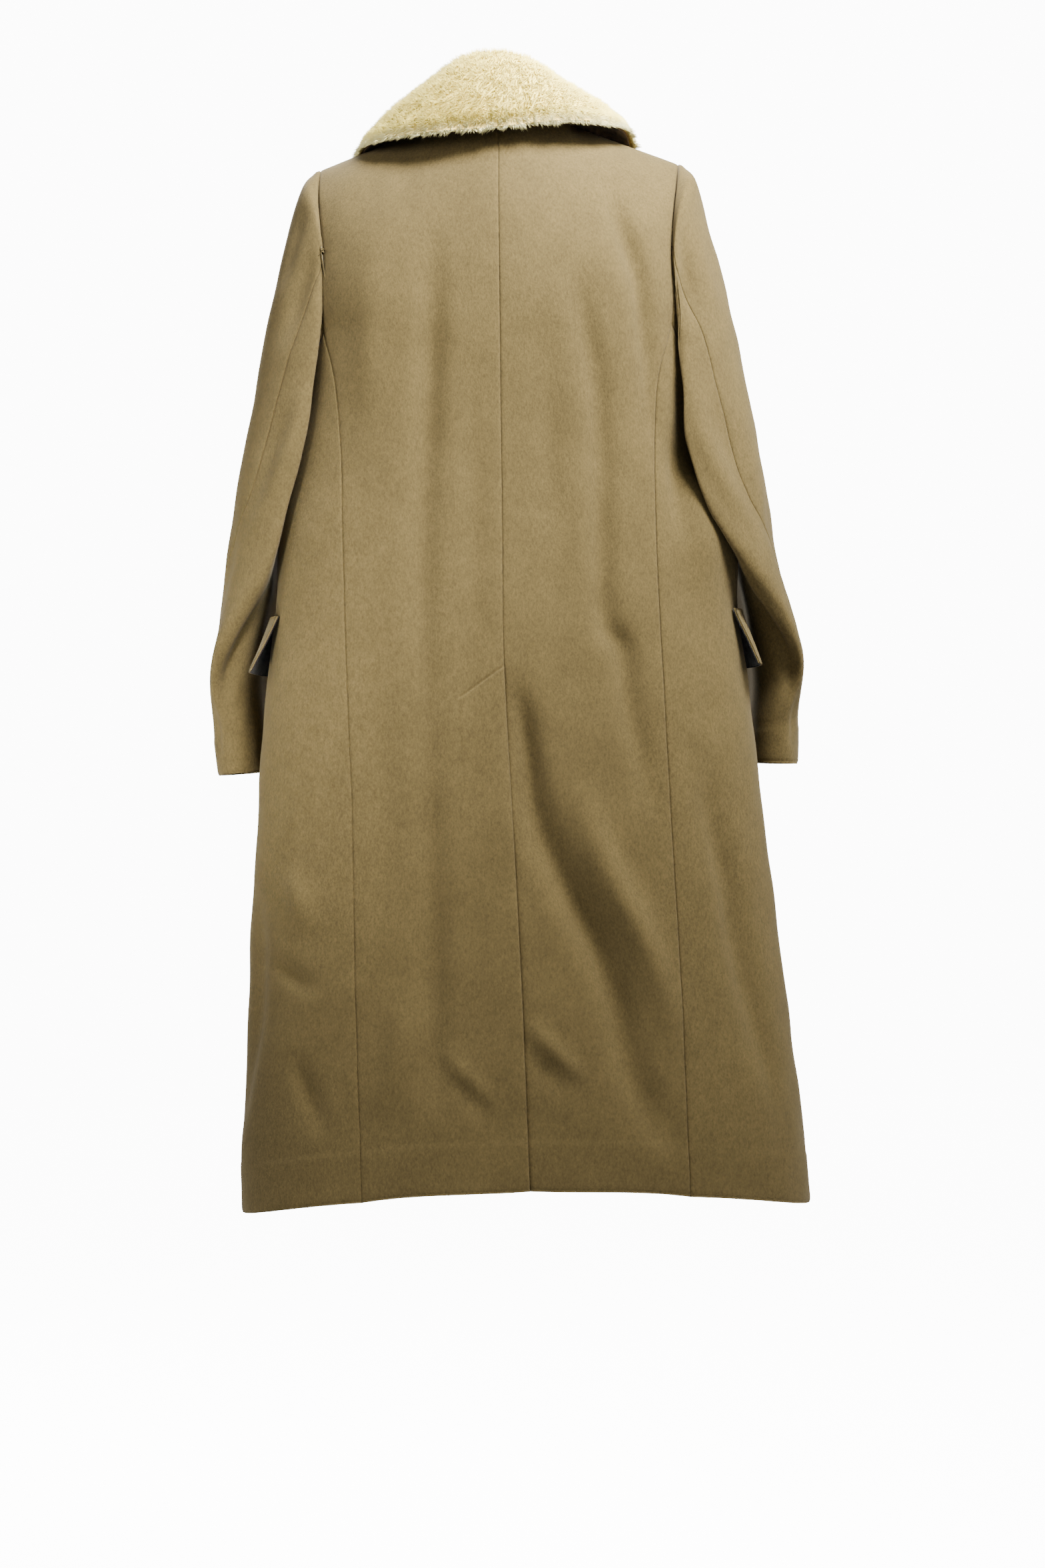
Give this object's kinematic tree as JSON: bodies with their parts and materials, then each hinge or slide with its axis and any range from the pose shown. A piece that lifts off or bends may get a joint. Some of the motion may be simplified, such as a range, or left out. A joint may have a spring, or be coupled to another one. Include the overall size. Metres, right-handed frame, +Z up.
{
  "type": "wool overcoat",
  "caption": "Long camel wool overcoat with a shearling collar, set-in sleeves, pocket flaps and a centre back vent, filled out and empty.",
  "frame": {"origin": "middle of the neck opening at the height of the neck points, where a hanger or a stand's neck would hold the coat", "axes": "+Z up from the hem to the collar, +X to the wearer's left, -Y out of the coat's front"},
  "size_m": [0.6244, 0.306, 1.2029],
  "materials": {
    "back_left": "fulled wool coating, matte with a short nap",
    "back_right": "fulled wool coating, matte with a short nap",
    "side_left": "fulled wool coating, matte with a short nap",
    "side_right": "fulled wool coating, matte with a short nap",
    "front_left": "fulled wool coating, matte with a short nap",
    "front_right": "fulled wool coating, matte with a short nap",
    "vent_underlap": "fulled wool coating, matte with a short nap",
    "sleeve_upper_left": "fulled wool coating, matte with a short nap",
    "sleeve_upper_right": "fulled wool coating, matte with a short nap",
    "sleeve_under_left": "fulled wool coating, matte with a short nap",
    "sleeve_under_right": "fulled wool coating, matte with a short nap",
    "undercollar": "brown suede side of the shearling, matte",
    "collar": "dense short shearling pile, matte",
    "pocket_flap_left": "fulled wool coating, matte with a short nap",
    "pocket_flap_right": "fulled wool coating, matte with a short nap",
    "flap_lining_left": "black satin lining, glossy",
    "flap_lining_right": "black satin lining, glossy",
    "button_1": "dark horn-coloured, half matte",
    "button_2": "dark horn-coloured, half matte",
    "button_3": "dark horn-coloured, half matte",
    "button_4": "dark horn-coloured, half matte"
  },
  "bodies": {
    "root": {"back_left": "back_left", "back_right": "back_right", "side_left": "side_left", "side_right": "side_right", "front_left": "front_left", "front_right": "front_right", "vent_underlap": "vent_underlap", "sleeve_upper_left": "sleeve_upper_left", "sleeve_upper_right": "sleeve_upper_right", "sleeve_under_left": "sleeve_under_left", "sleeve_under_right": "sleeve_under_right", "undercollar": "undercollar", "collar": "collar", "pocket_flap_left": "pocket_flap_left", "pocket_flap_right": "pocket_flap_right", "flap_lining_left": "flap_lining_left", "flap_lining_right": "flap_lining_right", "button_1": "button_1", "button_2": "button_2", "button_3": "button_3", "button_4": "button_4"}
  },
  "joints": []
}
